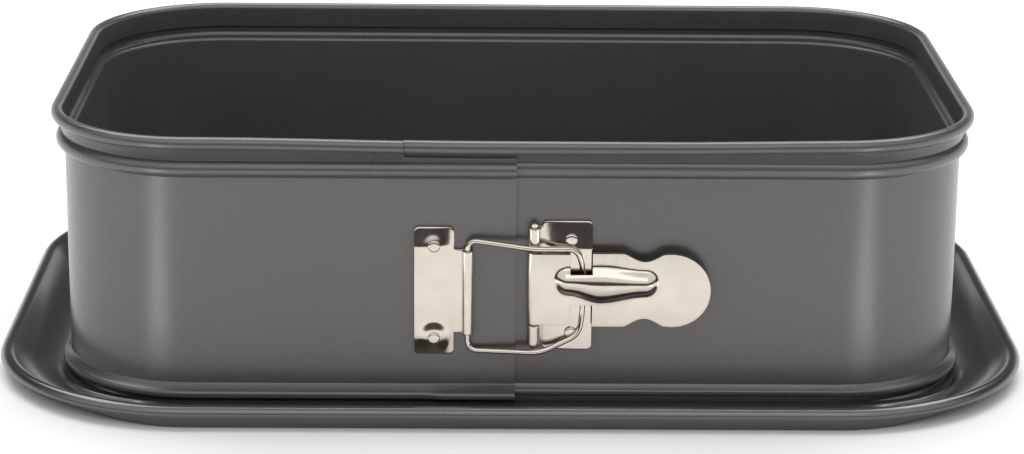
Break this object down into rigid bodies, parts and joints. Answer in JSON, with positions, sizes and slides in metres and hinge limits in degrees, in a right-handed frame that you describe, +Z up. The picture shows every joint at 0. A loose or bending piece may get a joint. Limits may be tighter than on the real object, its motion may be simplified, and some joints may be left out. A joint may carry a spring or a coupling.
{
  "type": "rectangular springform pan",
  "caption": "Rectangular springform cake pan: a rolled-rim steel ring that clamps with a wire-bail lever latch round the raised floor of a wide drip tray.",
  "frame": {"origin": "on the table, under the middle of the tray", "axes": "+X along the pan's length to the right of the latch, -Y out of the latch's face, +Z up"},
  "size_m": [0.3158, 0.2158, 0.0832],
  "materials": {
    "band_coating": "satin non-stick coating",
    "tray_coating": "satin non-stick coating",
    "nickel": "bright nickel plate"
  },
  "bodies": {
    "tray": {"base_tray": "tray_coating"},
    "ring": {"band_back": "band_coating"},
    "left_end": {"band_left": "band_coating", "keeper_plate": "nickel", "keeper_rivet_upper": "nickel", "keeper_rivet_lower": "nickel"},
    "right_end": {"band_right": "band_coating", "hinge_plate": "nickel", "hinge_pin": "nickel", "hinge_rivet_upper": "nickel", "hinge_rivet_lower": "nickel"},
    "lever": {"lever": "nickel"},
    "bail": {"wire_bail": "nickel"}
  },
  "joints": [
    {"name": "ring_lift", "type": "slide", "parent": "tray", "child": "ring", "axis": [0, 0, 1], "range_m": [0, 0.1]},
    {"name": "band_spread", "type": "hinge", "parent": "ring", "child": "left_end", "pos_m": [-0.0962, 0.0902, 0.04], "axis": [0, 0, -1], "range_deg": [0, 3.4]},
    {"name": "band_spread_right", "type": "hinge", "parent": "ring", "child": "right_end", "pos_m": [0.0962, 0.0902, 0.04], "axis": [0, 0, 1], "range_deg": [0, 1.7]},
    {"name": "lever_swing", "type": "hinge", "parent": "right_end", "child": "lever", "pos_m": [0.0059, -0.0875, 0.0377], "axis": [0, 0, -1], "range_deg": [0, 145]},
    {"name": "bail_swing", "type": "hinge", "parent": "left_end", "child": "bail", "pos_m": [-0.01365, -0.0882, 0.0363], "axis": [0, 0, -1], "range_deg": [0, 12]}
  ],
  "couplings": [
    {"joint": "band_spread_right", "follows": "band_spread", "ratio": 0.5},
    {"joint": "lever_swing", "follows": "band_spread", "ratio": 42.647},
    {"joint": "bail_swing", "follows": "band_spread", "ratio": 3.529}
  ]
}
